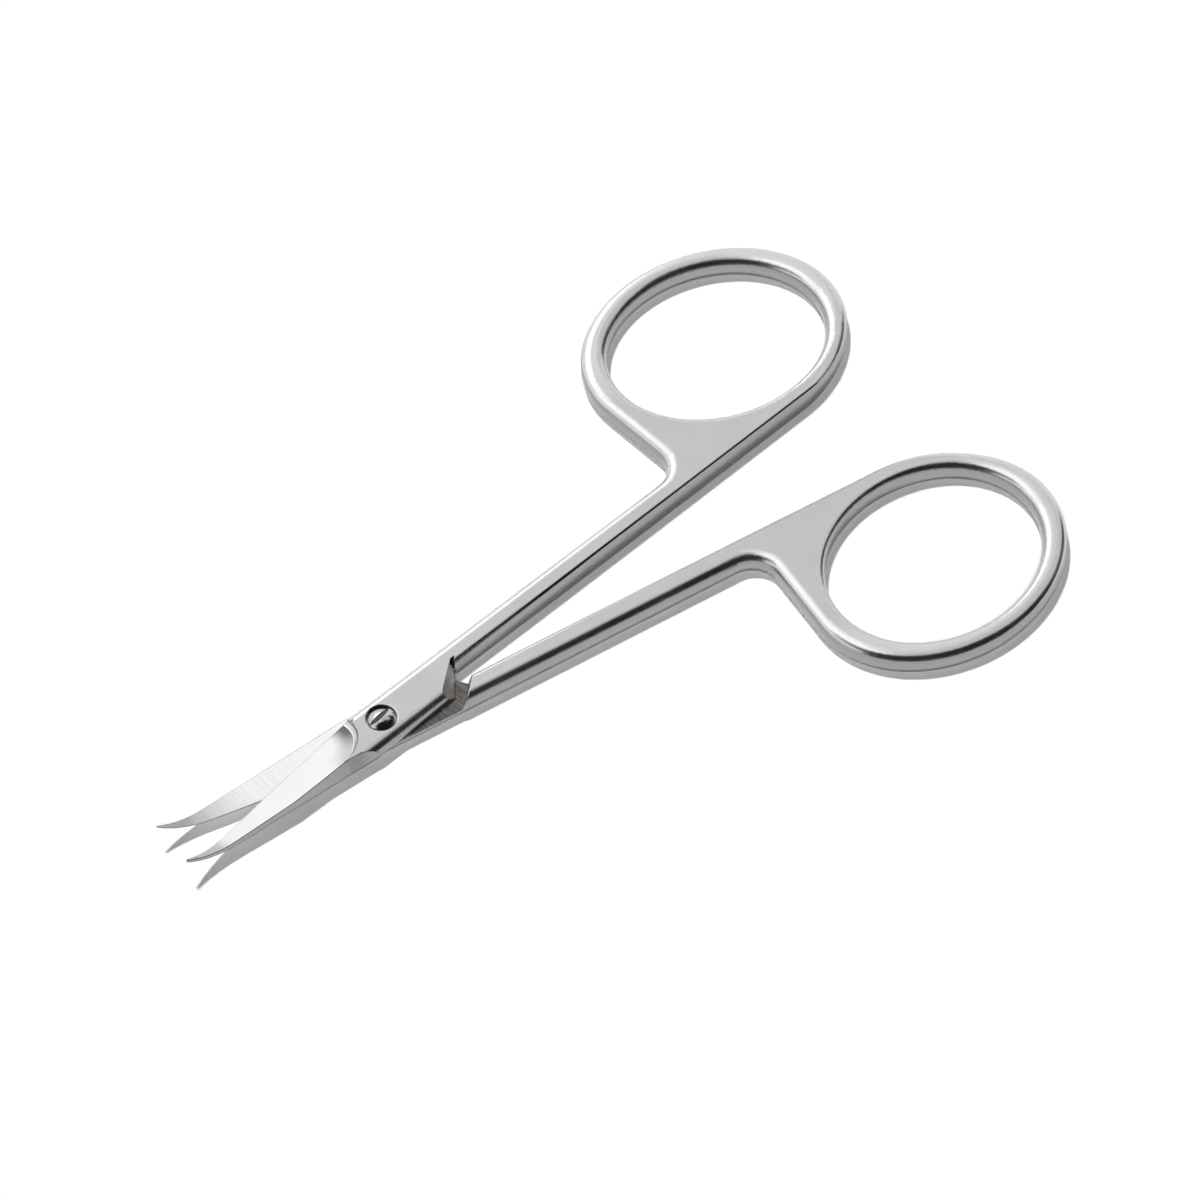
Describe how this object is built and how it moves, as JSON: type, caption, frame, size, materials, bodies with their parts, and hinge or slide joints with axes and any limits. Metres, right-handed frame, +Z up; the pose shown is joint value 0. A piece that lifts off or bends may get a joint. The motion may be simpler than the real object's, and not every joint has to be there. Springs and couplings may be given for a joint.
{
  "type": "cuticle scissors",
  "caption": "Small steel cuticle scissors with fine upturned blades, a lapped joint on a slotted pivot screw, slender shanks and oval finger rings.",
  "frame": {"origin": "on the pivot axis, at the underside that rests on the table", "axes": "+X from the blades to the finger rings along the bisector of the two halves, +Y towards the upper half's ring, +Z up along the pivot axis"},
  "size_m": [0.0873, 0.0546, 0.0035],
  "materials": {
    "satin_steel": "satin",
    "screw_steel": "polished"
  },
  "bodies": {
    "lower": {"lower_half": "satin_steel", "pivot_screw": "screw_steel"},
    "upper": {"upper_half": "satin_steel"}
  },
  "joints": [
    {"name": "pivot", "type": "hinge", "parent": "lower", "child": "upper", "pos_m": [0, 0, 0], "axis": [0, 0, 1], "range_deg": [-12, 48]}
  ]
}
